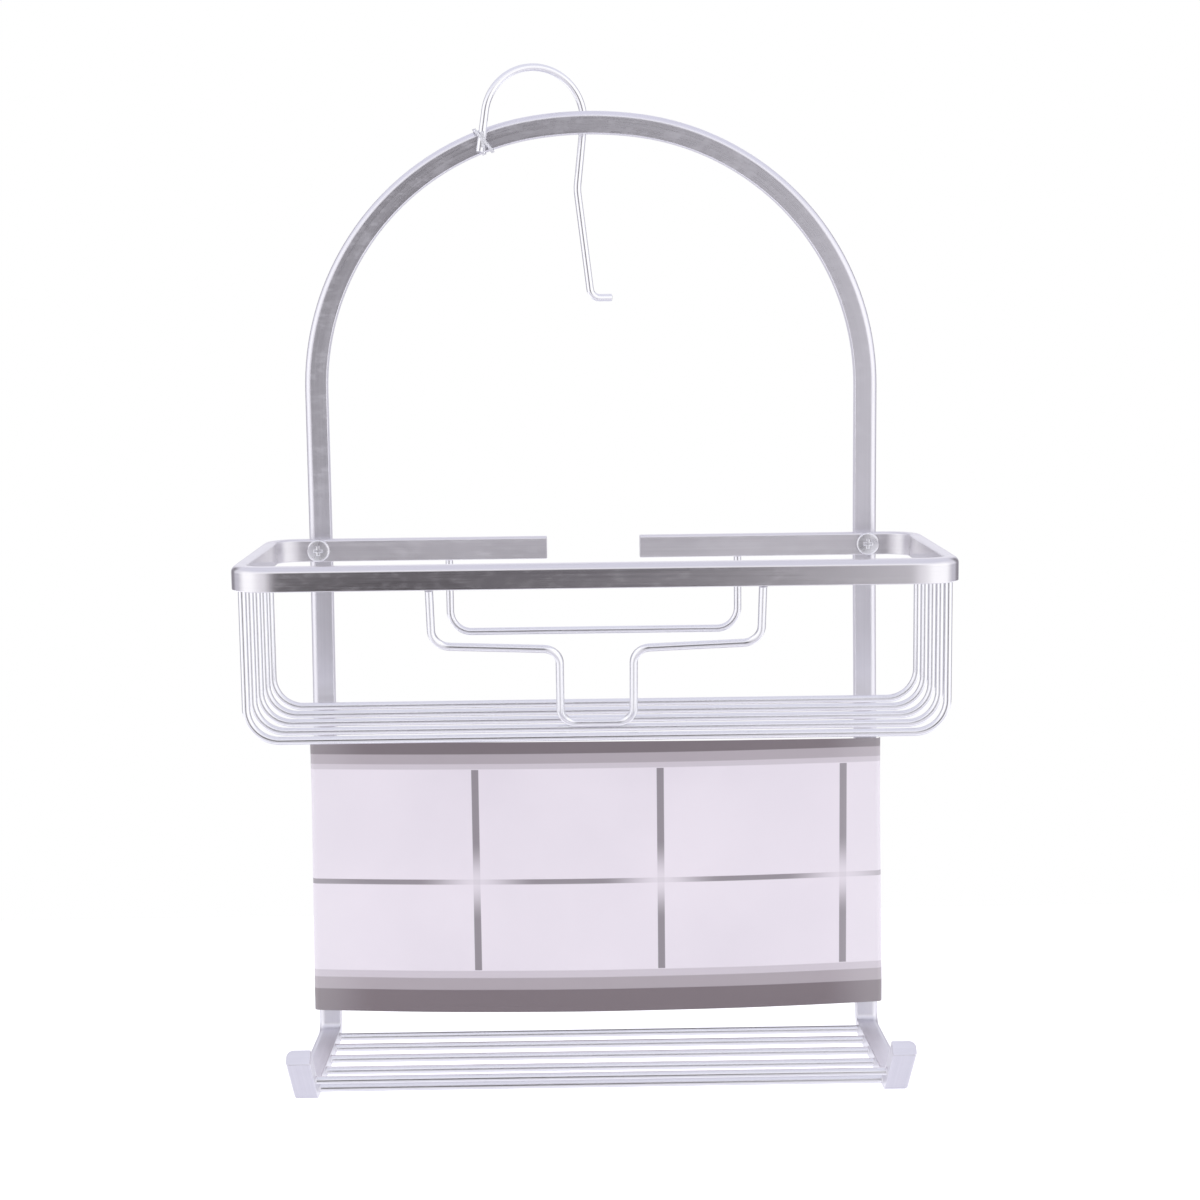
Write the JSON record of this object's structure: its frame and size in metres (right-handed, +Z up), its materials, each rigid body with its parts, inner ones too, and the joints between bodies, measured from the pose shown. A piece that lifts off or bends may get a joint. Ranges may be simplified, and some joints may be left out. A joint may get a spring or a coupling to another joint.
{
  "type": "hanging shower caddy",
  "caption": "Hanging shower caddy: a bent aluminium bar arch with a wire basket, a wire shelf, a loose hanging hook and a card sleeve.",
  "frame": {"origin": "the hanging seat: the underside of the arch's crown, half way through the bar", "axes": "+X to the viewer's right along the basket's front, +Y towards the wall, +Z up"},
  "size_m": [0.31, 0.1343, 0.4674],
  "materials": {
    "bar": "satin anodised flat bar with faint lines along it",
    "wire": "satin anodised round wire",
    "fastener": "bright stainless screws and nuts",
    "hook": "smooth bright wire",
    "tie": "clear plastic strap",
    "card": null
  },
  "bodies": {
    "frame": {"arch_frame": "bar", "basket_rim": "bar", "basket_wire_1": "wire", "basket_wire_2": "wire", "basket_wire_3": "wire", "basket_wire_4": "wire", "basket_wire_5": "wire", "front_guard_wire": "wire", "rear_guard_wire": "wire", "shelf_wire_1": "wire", "shelf_wire_2": "wire", "shelf_wire_3": "wire", "shelf_wire_4": "wire", "shelf_wire_5": "wire", "shelf_front_rail": "wire", "shelf_rear_rail": "wire", "left_screw": "fastener", "right_screw": "fastener", "left_sleeve_nut": "fastener", "right_sleeve_nut": "fastener", "clear_tie": "tie"},
    "hook": {"hanging_hook": "hook"},
    "sleeve": {"card_sleeve": "card"}
  },
  "joints": [
    {"name": "hook_swing", "type": "hinge", "parent": "frame", "child": "hook", "pos_m": [-0.0488, -0.0058, -0.0026], "axis": [0, 1, 0], "range_deg": [-7, 5]},
    {"name": "sleeve_slide", "type": "slide", "parent": "frame", "child": "sleeve", "axis": [0, 0, 1], "range_m": [-0.004, 0.05]}
  ]
}
